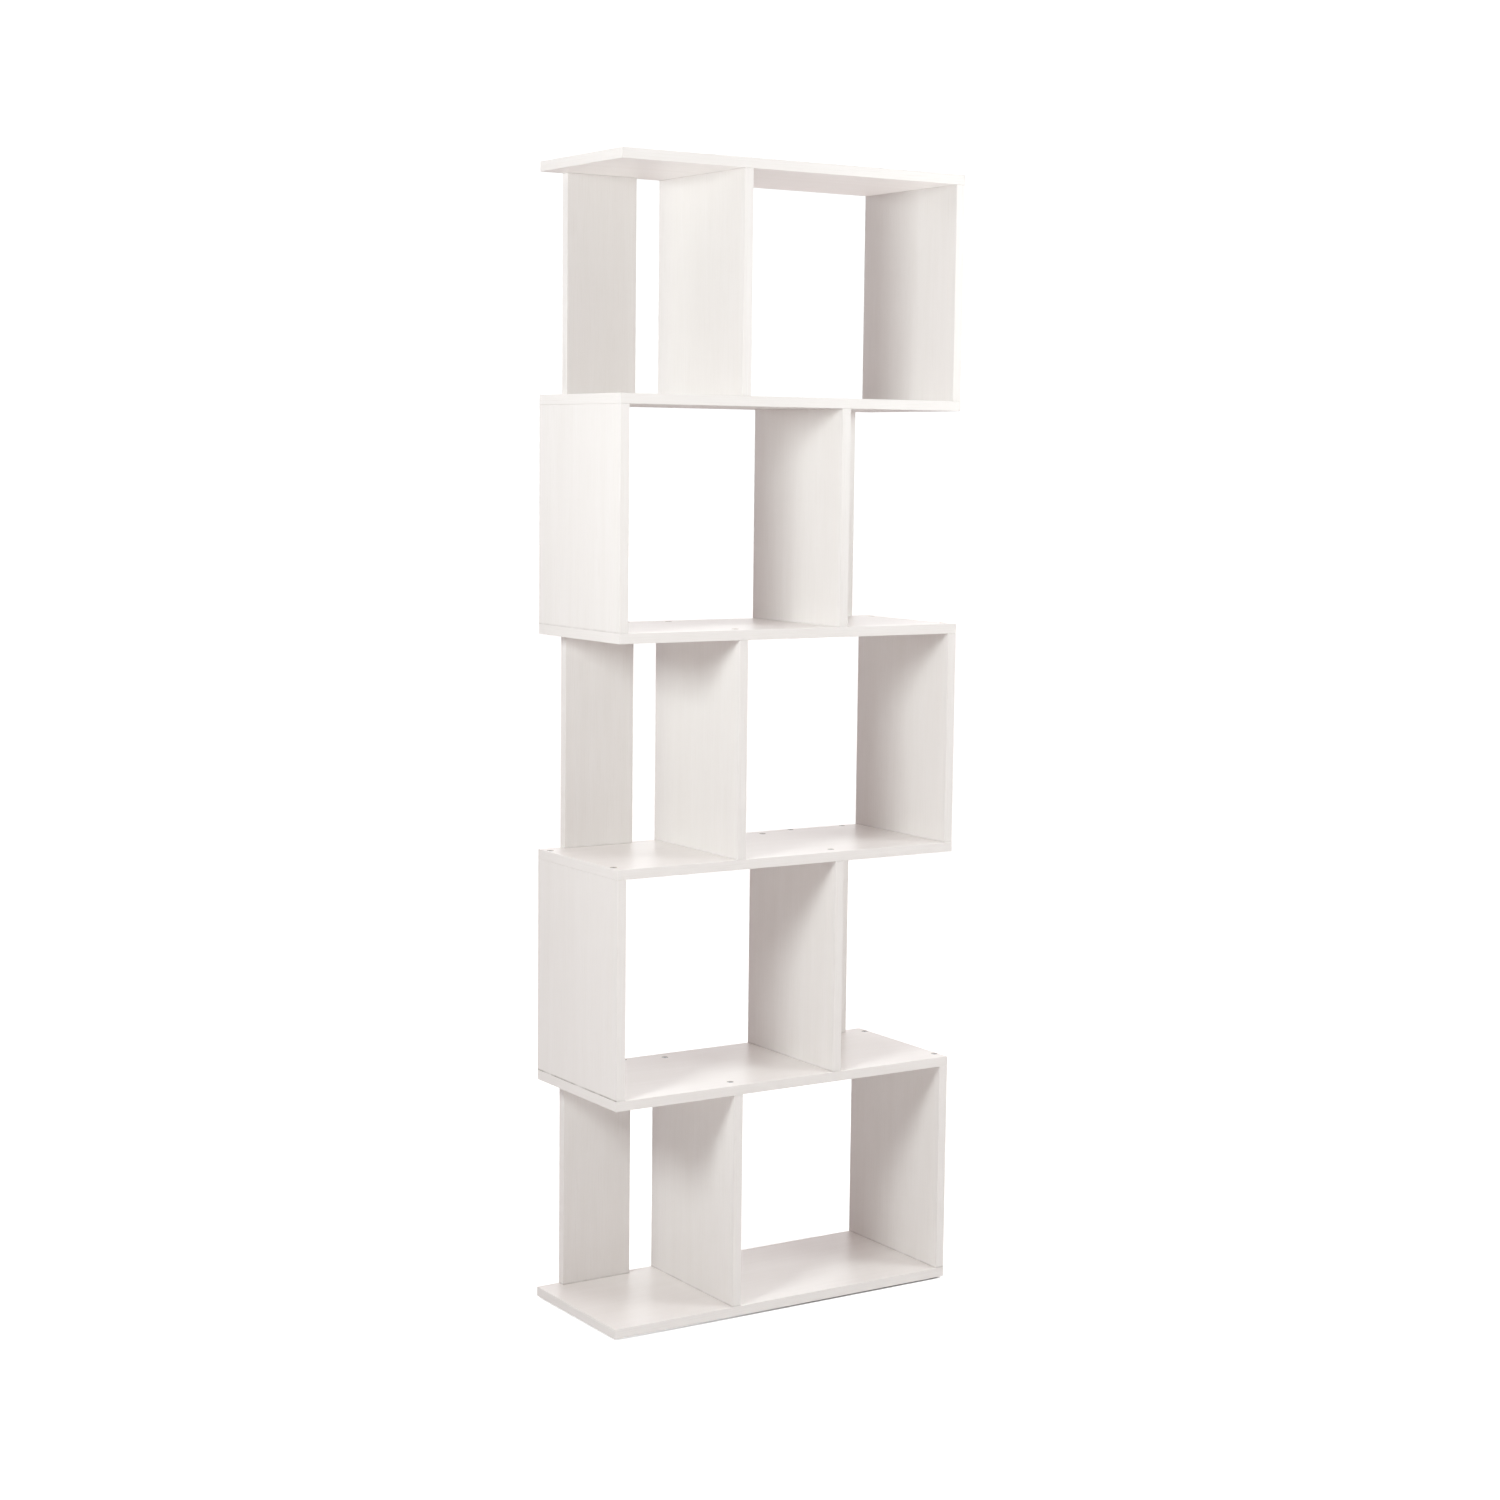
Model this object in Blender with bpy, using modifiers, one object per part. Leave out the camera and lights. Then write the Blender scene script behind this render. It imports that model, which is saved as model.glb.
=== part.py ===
# A free-standing zigzag shelving unit of white melamine board, five tiers high.
# Each tier has an end panel, a divider and a narrow back panel between two boards
# that run the full width. The end panel changes ends from tier to tier. Countersunk
# screws hold the boards to the edges of the panels.
# Metres, +X to the right of someone facing the unit, +Y towards its back, +Z up.
# The origin is on the floor, under the middle of the base board.

from math import pi, radians

import bpy
import bmesh
from mathutils import Matrix

# Driving sizes of the unit
WIDTH = 0.600
DEPTH = 0.240
BOARD_THICKNESS = 0.015
PANEL_THICKNESS = 0.015
TIER_CLEAR_HEIGHT = 0.325
TIER_COUNT = 5

# The open end of a tier, from the board's end inwards: a gap, the back panel, a slot
# and the divider
OPEN_BAY_WIDTH = 0.204
BACK_PANEL_INSET = 0.038
SLOT_WIDTH = 0.048

# Edges and fits
EDGE_CHAMFER = 0.0006
SEAT_GAP = 0.0003
HOLE_CLEARANCE = 0.0003
CUT_OVERRUN = 0.002
MERGE_DISTANCE = 0.00001
SHARP_ANGLE = radians(30)

# Countersunk furniture screw with a hexagon socket. Its coarse thread is a plain
# cylinder of the thread's mean radius.
SCREW_LENGTH = 0.050
SCREW_HEAD_RADIUS = 0.0050
SCREW_HEAD_RIM = 0.0005
SCREW_HEAD_CONE = 0.0030
SCREW_COLLAR_RADIUS = 0.0032
SCREW_COLLAR_LENGTH = 0.0120
SCREW_THREAD_RADIUS = 0.0028
SCREW_TIP_RADIUS = 0.0014
SCREW_TIP_LENGTH = 0.0040
SCREW_SIDES = 10
SOCKET_RADIUS = 0.0023
SOCKET_DEPTH = 0.0025
SOCKET_SIDES = 6

# How the screws sit
SCREW_HEAD_SINK = 0.0003
PILOT_SPARE_DEPTH = 0.002
SCREW_EDGE_INSET = 0.025
BACK_SCREW_INSET = 0.009

# Nail-in glide under each corner of the base board
GLIDE_RADIUS = 0.011
GLIDE_THICKNESS = 0.003
GLIDE_CHAMFER = 0.0008
GLIDE_PIN_RADIUS = 0.0015
GLIDE_PIN_LENGTH = 0.009
GLIDE_PIN_POINT = 0.002
GLIDE_INSET = 0.035
GLIDE_SIDES = 16

# Heights that follow from the sizes above
TIER_PITCH = TIER_CLEAR_HEIGHT + BOARD_THICKNESS
BASE_HEIGHT = GLIDE_THICKNESS + SEAT_GAP

# Finishes: base colour, roughness and metallic value
MELAMINE_BOARD = ((0.86, 0.84, 0.82, 1.0), 0.42, 0.0)
MELAMINE_PANEL = ((0.84, 0.82, 0.80, 1.0), 0.45, 0.0)
ZINC_STEEL = ((0.62, 0.62, 0.63, 1.0), 0.35, 1.0)
GLIDE_PLASTIC = ((0.80, 0.80, 0.78, 1.0), 0.55, 0.0)


def clear_scene():
    for obj in list(bpy.data.objects):
        bpy.data.objects.remove(obj)


def new_collection(name):
    collection = bpy.data.collections.new(name)
    bpy.context.scene.collection.children.link(collection)
    return collection


def new_material(name, finish):
    colour, roughness, metallic = finish
    material = bpy.data.materials.new(name)
    material.use_nodes = True
    shader = material.node_tree.nodes["Principled BSDF"]
    shader.inputs["Base Color"].default_value = colour
    shader.inputs["Roughness"].default_value = roughness
    shader.inputs["Metallic"].default_value = metallic
    return material


def add_part(name, mesh, place):
    """One piece of the unit, hung on the unit's origin."""
    obj = bpy.data.objects.new(name, mesh)
    obj.location = place
    obj.parent = unit_origin
    unit.objects.link(obj)
    return obj


def add_cutter(name, mesh, place):
    """One cutter, which is no piece of the unit."""
    obj = bpy.data.objects.new(name, mesh)
    obj.location = place
    obj.hide_render = True
    obj.display_type = "WIRE"
    cutters.objects.link(obj)
    return obj


def add_sheet(name, size, place, material):
    """A board or panel with a narrow chamfer on all its edges."""
    mesh = bpy.data.meshes.new(name)
    sheet = bmesh.new()
    bmesh.ops.create_cube(sheet, size=1, matrix=Matrix.Diagonal((*size, 1)))
    sheet.to_mesh(mesh)
    sheet.free()
    mesh.materials.append(material)
    obj = add_part(name, mesh, place)
    chamfer = obj.modifiers.new("chamfer", "BEVEL")
    chamfer.width = EDGE_CHAMFER
    chamfer.segments = 1
    chamfer.limit_method = "NONE"
    return obj


def drill(obj, holes):
    """Cuts every one of the holes out of a board or panel."""
    group = bpy.data.collections.new(f"{obj.name}_holes")
    group.hide_render = True
    cutters.children.link(group)
    for hole in holes:
        group.objects.link(hole)
    cut = obj.modifiers.new("holes", "BOOLEAN")
    cut.operand_type = "COLLECTION"
    cut.collection = group
    cut.operation = "DIFFERENCE"


def turned_blank(name, profile, sides):
    """An object whose (radius, height) profile, from its top down, is turned about Z."""
    mesh = bpy.data.meshes.new(name)
    points = [(radius, 0, height) for radius, height in profile]
    mesh.from_pydata(points, [(i, i + 1) for i in range(len(points) - 1)], [])
    blank = add_part(name, mesh, (0, 0, 0))
    turn = blank.modifiers.new("turn", "SCREW")
    turn.steps = sides
    turn.render_steps = sides
    turn.use_merge_vertices = True
    turn.merge_threshold = MERGE_DISTANCE
    return blank


def mesh_from_blank(blank, material=None):
    """The blank's mesh with its modifiers applied. The blank itself is removed."""
    graph = bpy.context.evaluated_depsgraph_get()
    mesh = bpy.data.meshes.new_from_object(blank.evaluated_get(graph))
    bpy.data.objects.remove(blank)
    mesh.shade_smooth()
    mesh.set_sharp_from_angle(angle=SHARP_ANGLE)
    if material:
        mesh.materials.append(material)
    return mesh


def make_screw_mesh():
    """A screw that points down, with the flat top of its head at height 0."""
    cone_end = -SCREW_HEAD_RIM - SCREW_HEAD_CONE
    profile = [
        (0, 0),
        (SCREW_HEAD_RADIUS, 0),
        (SCREW_HEAD_RADIUS, -SCREW_HEAD_RIM),
        (SCREW_COLLAR_RADIUS, cone_end),
        (SCREW_COLLAR_RADIUS, -SCREW_COLLAR_LENGTH),
        (SCREW_THREAD_RADIUS, -SCREW_COLLAR_LENGTH),
        (SCREW_THREAD_RADIUS, SCREW_TIP_LENGTH - SCREW_LENGTH),
        (SCREW_TIP_RADIUS, -SCREW_LENGTH),
        (0, -SCREW_LENGTH),
    ]
    blank = turned_blank("screw_blank", profile, SCREW_SIDES)
    socket_mesh = bpy.data.meshes.new("screw_socket")
    socket = bmesh.new()
    bmesh.ops.create_cone(
        socket,
        cap_ends=True,
        segments=SOCKET_SIDES,
        radius1=SOCKET_RADIUS,
        radius2=SOCKET_RADIUS,
        depth=2 * SOCKET_DEPTH,
    )
    socket.to_mesh(socket_mesh)
    socket.free()
    socket_cutter = add_cutter("screw_socket", socket_mesh, (0, 0, 0))
    cut = blank.modifiers.new("socket", "BOOLEAN")
    cut.object = socket_cutter
    cut.operation = "DIFFERENCE"
    mesh = mesh_from_blank(blank, screw_material)
    bpy.data.objects.remove(socket_cutter)
    return mesh


def make_screw_hole_mesh():
    """The hole for a screw in the same place: a countersink and a clear bore through the
    board, then a pilot hole into the edge of the panel."""
    head = SCREW_HEAD_RADIUS + HOLE_CLEARANCE
    clear = SCREW_COLLAR_RADIUS + HOLE_CLEARANCE
    pilot = SCREW_THREAD_RADIUS + HOLE_CLEARANCE
    rim_end = -SCREW_HEAD_RIM - HOLE_CLEARANCE
    board_end = BOARD_THICKNESS - SCREW_HEAD_SINK + SEAT_GAP / 2
    clear_end = -max(board_end, SCREW_COLLAR_LENGTH + HOLE_CLEARANCE)
    pilot_end = -SCREW_LENGTH - PILOT_SPARE_DEPTH
    profile = [
        (0, CUT_OVERRUN),
        (head, CUT_OVERRUN),
        (head, rim_end),
        (clear, rim_end - SCREW_HEAD_CONE),
        (clear, clear_end),
        (pilot, clear_end),
        (pilot, pilot_end),
        (0, pilot_end),
    ]
    return mesh_from_blank(turned_blank("screw_hole_blank", profile, SCREW_SIDES))


def make_glide_mesh():
    """A glide with the face of its foot at height 0 and its pin pointing up."""
    pin_top = GLIDE_THICKNESS + GLIDE_PIN_LENGTH
    profile = [
        (0, pin_top),
        (GLIDE_PIN_RADIUS, pin_top - GLIDE_PIN_POINT),
        (GLIDE_PIN_RADIUS, GLIDE_THICKNESS),
        (GLIDE_RADIUS, GLIDE_THICKNESS),
        (GLIDE_RADIUS, GLIDE_CHAMFER),
        (GLIDE_RADIUS - GLIDE_CHAMFER, 0),
        (0, 0),
    ]
    return mesh_from_blank(turned_blank("glide_blank", profile, GLIDE_SIDES), glide_material)


def make_glide_hole_mesh():
    """The hole for the pin of a glide in the same place."""
    radius = GLIDE_PIN_RADIUS + HOLE_CLEARANCE
    top = GLIDE_THICKNESS + GLIDE_PIN_LENGTH + HOLE_CLEARANCE
    bottom = GLIDE_THICKNESS - CUT_OVERRUN
    profile = [(0, top), (radius, top), (radius, bottom), (0, bottom)]
    return mesh_from_blank(turned_blank("glide_hole_blank", profile, GLIDE_SIDES))


def end_side(tier):
    """+1 where the tier's end panel is on the right, -1 where it is on the left."""
    return 1 if tier % 2 else -1


def board_underside(level):
    """Height of a board's underside. The base board is level 0, and tier 1 stands on it."""
    return BASE_HEIGHT + level * TIER_PITCH


def panel_plan(tier):
    """The tier's panels as name: ((x, y) centre, (x, y) size, screw places by name)."""
    side = end_side(tier)
    open_end = -side * WIDTH / 2
    end_x = side * (WIDTH - PANEL_THICKNESS) / 2
    divider_x = open_end + side * (OPEN_BAY_WIDTH + PANEL_THICKNESS / 2)
    back_width = OPEN_BAY_WIDTH - BACK_PANEL_INSET - SLOT_WIDTH
    back_x = open_end + side * (BACK_PANEL_INSET + back_width / 2)
    back_y = (DEPTH - PANEL_THICKNESS) / 2
    screw_y = DEPTH / 2 - SCREW_EDGE_INSET
    back_screw_x = back_width / 2 - BACK_SCREW_INSET
    return {
        "end_panel": (
            (end_x, 0),
            (PANEL_THICKNESS, DEPTH),
            {"front": (end_x, -screw_y), "back": (end_x, screw_y)},
        ),
        "divider": (
            (divider_x, 0),
            (PANEL_THICKNESS, DEPTH),
            {"front": (divider_x, -screw_y), "back": (divider_x, screw_y)},
        ),
        "back_panel": (
            (back_x, back_y),
            (back_width, PANEL_THICKNESS),
            {
                "left": (back_x - back_screw_x, back_y),
                "right": (back_x + back_screw_x, back_y),
            },
        ),
    }


def make_tier(tier, board_holes):
    """The panels of a tier and the screws in their top edges. Holes for those, and for
    the like screws that come up into the bottom edges, are added to the boards' lists."""
    lower_board = board_underside(tier - 1)
    upper_board = board_underside(tier)
    floor = lower_board + BOARD_THICKNESS
    panel_height = TIER_CLEAR_HEIGHT - 2 * SEAT_GAP
    upper_head = upper_board + BOARD_THICKNESS - SCREW_HEAD_SINK
    lower_head = lower_board + SCREW_HEAD_SINK
    for panel, (centre, size, screws) in panel_plan(tier).items():
        name = f"tier_{tier}_{panel}"
        place = (*centre, (floor + upper_board) / 2)
        sheet = add_sheet(name, (*size, panel_height), place, panel_material)
        holes = []
        for position, (x, y) in screws.items():
            screw_name = f"{name}_screw_{position}"
            upper_hole = add_cutter(f"{screw_name}_hole", screw_hole, (x, y, upper_head))
            lower_hole = add_cutter(f"{screw_name}_lower_hole", screw_hole, (x, y, lower_head))
            lower_hole.rotation_euler.x = pi
            holes += [upper_hole, lower_hole]
            board_holes[tier].append(upper_hole)
            board_holes[tier - 1].append(lower_hole)
            add_part(screw_name, screw, (x, y, upper_head))
        drill(sheet, holes)


def make_glides(board_holes):
    """A glide near each corner of the base board."""
    reach_x = WIDTH / 2 - GLIDE_INSET
    reach_y = DEPTH / 2 - GLIDE_INSET
    for row, y in (("front", -reach_y), ("back", reach_y)):
        for end, x in (("left", -reach_x), ("right", reach_x)):
            name = f"glide_{row}_{end}"
            add_part(name, glide, (x, y, 0))
            board_holes[0].append(add_cutter(f"{name}_hole", glide_hole, (x, y, 0)))


def board_name(level):
    if level == 0:
        return "base_board"
    return "top_board" if level == TIER_COUNT else f"shelf_board_{level}"


def make_boards(board_holes):
    """The full-width boards below, between and above the tiers."""
    for level in range(TIER_COUNT + 1):
        place = (0, 0, board_underside(level) + BOARD_THICKNESS / 2)
        size = (WIDTH, DEPTH, BOARD_THICKNESS)
        drill(add_sheet(board_name(level), size, place, board_material), board_holes[level])


clear_scene()
unit = new_collection("shelving_unit")
cutters = new_collection("cutters")
unit_origin = bpy.data.objects.new("shelving_unit_origin", None)
unit.objects.link(unit_origin)

board_material = new_material("white_melamine_board", MELAMINE_BOARD)
panel_material = new_material("white_melamine_panel", MELAMINE_PANEL)
screw_material = new_material("zinc_plated_steel", ZINC_STEEL)
glide_material = new_material("glide_plastic", GLIDE_PLASTIC)

screw = make_screw_mesh()
screw_hole = make_screw_hole_mesh()
glide = make_glide_mesh()
glide_hole = make_glide_hole_mesh()

holes_by_level = {level: [] for level in range(TIER_COUNT + 1)}
for tier_number in range(1, TIER_COUNT + 1):
    make_tier(tier_number, holes_by_level)
make_glides(holes_by_level)
make_boards(holes_by_level)
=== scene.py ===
"""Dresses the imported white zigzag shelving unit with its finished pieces.

The boards and panels are melamine sheets with rounded, glued edge bands and drilled screw
holes. The screws have a hexagon socket and a coarse thread, and glides stand under the base
board. A plain pale studio and the camera of the reference picture come last.
Metres, +X to the right of someone facing the unit, +Y to its back, +Z up, floor at 0."""

from math import pi, radians

import bmesh
import bpy
import numpy as np
from bpy.props import FloatProperty, FloatVectorProperty, PointerProperty
from bpy.types import Operator, Panel, PropertyGroup
from mathutils import Matrix, Vector


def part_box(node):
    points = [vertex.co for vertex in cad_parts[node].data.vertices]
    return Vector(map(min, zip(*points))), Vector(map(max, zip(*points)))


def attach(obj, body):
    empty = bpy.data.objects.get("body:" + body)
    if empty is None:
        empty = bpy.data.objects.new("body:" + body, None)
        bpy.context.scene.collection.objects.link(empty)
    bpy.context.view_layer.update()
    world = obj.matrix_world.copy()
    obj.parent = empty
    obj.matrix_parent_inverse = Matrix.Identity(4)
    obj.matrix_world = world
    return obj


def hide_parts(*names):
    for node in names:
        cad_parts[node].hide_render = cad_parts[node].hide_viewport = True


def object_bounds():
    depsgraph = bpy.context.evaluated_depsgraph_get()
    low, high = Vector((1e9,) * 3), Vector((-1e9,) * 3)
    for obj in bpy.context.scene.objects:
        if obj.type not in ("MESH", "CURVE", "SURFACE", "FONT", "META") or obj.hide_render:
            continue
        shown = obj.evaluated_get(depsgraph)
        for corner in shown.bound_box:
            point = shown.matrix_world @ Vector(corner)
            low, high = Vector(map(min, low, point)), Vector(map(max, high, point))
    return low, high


bl_info = {
    "name": "White zigzag shelving unit",
    "version": (1, 0, 0),
    "blender": (4, 5, 0),
    "location": "3D View > Sidebar > Shelving",
    "description": "Builds the finished boards, panels, screws and glides on the packed frame",
    "category": "Object",
}

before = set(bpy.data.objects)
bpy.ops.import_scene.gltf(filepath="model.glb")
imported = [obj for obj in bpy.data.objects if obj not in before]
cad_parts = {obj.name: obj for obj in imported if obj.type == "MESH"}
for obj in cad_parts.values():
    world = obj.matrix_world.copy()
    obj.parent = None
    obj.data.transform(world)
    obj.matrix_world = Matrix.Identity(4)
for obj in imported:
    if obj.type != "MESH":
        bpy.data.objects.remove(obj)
packed_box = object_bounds()

BODY = "root"
X, Y, Z = 0, 1, 2

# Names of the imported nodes
TIERS = range(1, 6)
BOARDS = ("base_board", *(f"shelf_board_{level}" for level in range(1, 5)), "top_board")
PANEL_SCREWS = {
    "end_panel": ("front", "back"),
    "divider": ("front", "back"),
    "back_panel": ("left", "right"),
}
GLIDES = ("glide_front_left", "glide_front_right", "glide_back_left", "glide_back_right")
BOARD_SLOT = "white_melamine_board"
PANEL_SLOT = "white_melamine_panel"
SCREW_SLOT = "zinc_plated_steel"
GLIDE_SLOT = "glide_plastic"

# Fineness of the meshes
ROUNDING_STEPS = 3
HOLE_SIDES = 32
SCREW_SIDES = 36
HEAD_RIM_STEPS = 4
THREAD_SIDES = 18
THREAD_ROWS_PER_TURN = 6
GLIDE_SIDES = 48
FOOT_STEPS = 7
MERGE_DISTANCE = 4e-6
LINE_TOLERANCE = 1e-6
SHARP_ANGLE = radians(35)

# How far the straight sides of a hole's grid cell stand off its circle
CELL_MARGIN = 0.0006

# How far a panel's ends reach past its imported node, so that they all but touch the boards
END_REACH = 0.00025

# Grime and painted contact shade in the joints, where a panel meets a board: its share at a
# panel's upper end and along its foot on the outside of the unit, and how it thins out with height
UPPER_GRIME_AND_SHADE = 0.1
OUTER_GRIME_AND_SHADE = 3.2
GRIME_AND_SHADE_HEIGHT = 1.3
LEAST_GRIME_AND_SHADE = 0.1

# Shifts of the print from sheet to sheet and from face to face, and the numbers of the
# panels, so that no two faces show the same piece of it
PIECE_SHIFT = (0.731, 0.417)
REGION_SHIFT = (0.193, 0.377)
PRINT_NUMBERS = {
    "end_panel": range(11, 16),
    "divider": range(21, 26),
    "back_panel": range(31, 36),
}

# Each screw is turned one radian further than the one before. The lower ones start here
LOWER_SCREW_TURN = 101

# Small forms of screws and glides
SOCKET_FLOOR_SHARE = 0.97
COLLAR_BEVEL_WIDTH = 0.0003
COLLAR_BEVEL_HEIGHT = 0.0004
CREST_STEEPNESS = 3
PIN_FLARE = 0.0004
DISH_SHARE = 0.55
DISH_FLOOR_SHARE = 0.5
DISH_DEPTH = 0.0003

NO_FACES = np.empty((0, 4), int)
WHITE = (1, 1, 1, 1)


def as_array(corner):
    return np.array(corner, float)


def node_box(name):
    low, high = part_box(name)
    return as_array(low), as_array(high)


def settings():
    return bpy.context.scene.shelving_unit


def new_object(name, data):
    """An object of a mesh, light or camera, linked to the scene."""
    made = bpy.data.objects.new(name, data)
    bpy.context.scene.collection.objects.link(made)
    return made


# Sheets

class SheetHole:
    """A turned hole across a sheet, or into one of its ends.

    axis and side say which face it enters, centre is the place of its axis, and profile
    lists (radius, depth) from that face inwards. A through hole ends on the far face."""

    def __init__(self, axis, side, centre, profile, through):
        self.axis, self.side, self.centre = axis, side, as_array(centre)
        self.profile, self.through = profile, through
        self.reach = max(profile)[0] + CELL_MARGIN


def screw_hole_profile(thickness):
    """(radius, depth) of the hole through a board: a countersink for the head, then a bore."""
    size = settings().screw
    head = size.head_radius + size.clearance
    bore = size.collar_radius + size.clearance
    rim_depth = size.head_sink + size.head_rim + size.clearance
    return [(head, 0), (head, rim_depth), (bore, rim_depth + size.head_cone), (bore, thickness)]


def pilot_profile(depth):
    """(radius, depth) of the blind hole for a screw's thread in the end of a panel."""
    size = settings().screw
    pilot = size.thread_radius - size.thread_depth / 2 + size.clearance
    return [(pilot, 0), (pilot, depth), (0, depth + pilot)]


def grid_lines(low, high, rounding, joint, holes):
    """Places of the grid lines along one axis of a sheet: the rounding at equal angles, the
    three lines of the band joint where it has one, and the sides of the holes' cells."""
    angles = np.linspace(pi / 4, 0, ROUNDING_STEPS + 1)
    near_edge = np.concatenate([rounding * (1 - np.tan(angles)), joint])
    lines = np.concatenate([low + near_edge, high - near_edge, holes])
    lines = np.sort(lines)
    return lines[np.concatenate([[True], np.diff(lines) > LINE_TOLERANCE])]


def other_axes(axis):
    return [k for k in (X, Y, Z) if k != axis]


def circle(hole, radius, height):
    """Points of a circle about a hole's axis, at a height along it."""
    angles = np.arange(HOLE_SIDES) * 2 * pi / HOLE_SIDES
    u, v = other_axes(hole.axis)
    points = np.tile(hole.centre, (HOLE_SIDES, 1))
    points[:, hole.axis] = height
    points[:, u] += radius * np.cos(angles)
    points[:, v] += radius * np.sin(angles)
    return points


def turned_surface(rings):
    """Points and quads through rings of equal size, one after the other."""
    sides = len(rings[0])
    here = np.arange(sides)
    onward = (here + 1) % sides
    first = np.arange(len(rings) - 1)[:, None] * sides
    second = first + sides
    quads = np.stack([first + here, first + onward, second + onward, second + here], -1)
    return np.concatenate(rings), quads.reshape(-1, 4)


def cell_with_circle(hole, face_at, radius):
    """A flat square cell with a round opening: triangles from each corner to the quarter of
    the circle that it faces, and one triangle from each side to the circle's nearest point."""
    corner_signs = np.array([(1, 1), (-1, 1), (-1, -1), (1, -1)])
    corners = np.tile(hole.centre, (4, 1))
    corners[:, hole.axis] = face_at
    corners[:, other_axes(hole.axis)] += corner_signs * hole.reach
    rim = circle(hole, radius, face_at)
    quarter = HOLE_SIDES // 4
    step = np.arange(HOLE_SIDES)
    fans = np.stack([step // quarter, 4 + step, 4 + (step + 1) % HOLE_SIDES], 1)
    side = np.arange(4)
    bridges = np.stack([side, (side + 1) % 4, 4 + (side + 1) * quarter % HOLE_SIDES], 1)
    return np.concatenate([corners, rim]), np.concatenate([fans, bridges])


def hole_wall(hole, low, high):
    """The wall of a hole: its profile turned about its axis, ring by ring."""
    inward = -1 if hole.side else 1
    face_at = (high if hole.side else low)[hole.axis]
    return turned_surface(
        [circle(hole, radius, face_at + inward * depth) for radius, depth in hole.profile]
    )


def sheet_surface(low, high, thick, grain, holes, banded_ends):
    """Points, quads, triangles and bored walls of a sheet with rounded edges and round holes.

    Formula: each face of the sheet's box is a grid over its two axes. A point p of the box is
    moved to core + rounding * unit((p - core) / rounding), where rounding has a value for each
    axis and core is p clamped to the box shrunk by it, so flats stay flat and edges and
    corners turn evenly. On the joint line of the edge band the point is then sunk along that
    same direction by the joint's depth."""
    edge = settings().edge
    cross = 3 - thick - grain
    rounding = np.full(3, edge.rounding)
    if not banded_ends:
        rounding[grain] = edge.cut_rounding
    joint_lines = edge.band_thickness + edge.joint_width * np.array([0, 0.5, 1])
    joint_middle = edge.band_thickness + edge.joint_width / 2
    lines = []
    for axis in (X, Y, Z):
        sides = [
            hole.centre[axis] + sign * hole.reach
            for hole in holes
            if hole.axis != axis
            for sign in (-1, 1)
        ]
        joint = [] if axis == thick else joint_lines
        if axis == grain and not banded_ends:
            joint = [edge.joint_shade]
        lines.append(grid_lines(low[axis], high[axis], rounding[axis], joint, sides))

    all_points, quads, triangles, walls = [], [], [], []
    count = 0
    for axis in (X, Y, Z):
        u, v = other_axes(axis)
        for side, face_at in ((0, low[axis]), (1, high[axis])):
            at_u, at_v = np.meshgrid(lines[u], lines[v], indexing="ij")
            points = np.empty((*at_u.shape, 3))
            points[..., axis] = face_at
            points[..., u] = at_u
            points[..., v] = at_v
            inset = np.minimum(points - low, high - points)
            on_end_joint = np.abs(inset[..., grain] - joint_middle) < LINE_TOLERANCE
            on_long_joint = np.abs(inset[..., cross] - joint_middle) < LINE_TOLERANCE
            end_joint = on_end_joint & (axis != grain) & banded_ends
            joint_start = joint_middle if banded_ends else edge.cut_rounding
            within = inset[..., grain] > joint_start - LINE_TOLERANCE
            long_joint = on_long_joint & (axis == thick) & within
            core = np.clip(points, low + rounding, high - rounding)
            outward = (points - core) / rounding
            outward /= np.linalg.norm(outward, axis=-1, keepdims=True)
            sunk = edge.joint_depth * (end_joint | long_joint)
            points = core + outward * (rounding - sunk[..., None])

            index = np.arange(at_u.size).reshape(at_u.shape)
            cells = np.stack(
                [index[:-1, :-1], index[1:, :-1], index[1:, 1:], index[:-1, 1:]], -1
            )
            middle_u = (lines[u][1:] + lines[u][:-1])[:, None] / 2
            middle_v = (lines[v][1:] + lines[v][:-1])[None, :] / 2
            kept = np.ones(cells.shape[:2], bool)
            openings = []
            for hole in holes:
                if hole.axis != axis or (hole.side != side and not hole.through):
                    continue
                near_u = np.abs(middle_u - hole.centre[u]) < hole.reach
                near_v = np.abs(middle_v - hole.centre[v]) < hole.reach
                kept &= ~(near_u & near_v)
                radius = hole.profile[0 if hole.side == side else -1][0]
                openings.append(cell_with_circle(hole, face_at, radius))
            all_points.append(points.reshape(-1, 3))
            quads.append(cells[kept] + count)
            count += at_u.size
            for rim_points, rim_faces in openings:
                all_points.append(rim_points)
                triangles.append(rim_faces + count)
                count += len(rim_points)
    for hole in holes:
        wall_points, wall_faces = hole_wall(hole, low, high)
        all_points.append(wall_points)
        walls.append(wall_faces + count)
        count += len(wall_points)
    return [np.concatenate(group) for group in (all_points, quads, triangles, walls)]


def values_of(items, name, width=1, kind=float):
    """One property of all the vertices, corners or faces of a mesh, as an array."""
    values = np.empty(len(items) * width, kind)
    items.foreach_get(name, values)
    return values.reshape(-1, width) if width > 1 else values


def add_attribute(mesh, name, domain, values):
    """Writes one number for each point or face, which the finishes read by its name."""
    mesh.attributes.new(name, "FLOAT", domain)
    mesh.attributes[name].data.foreach_set("value", np.asarray(values, np.float32))


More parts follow.
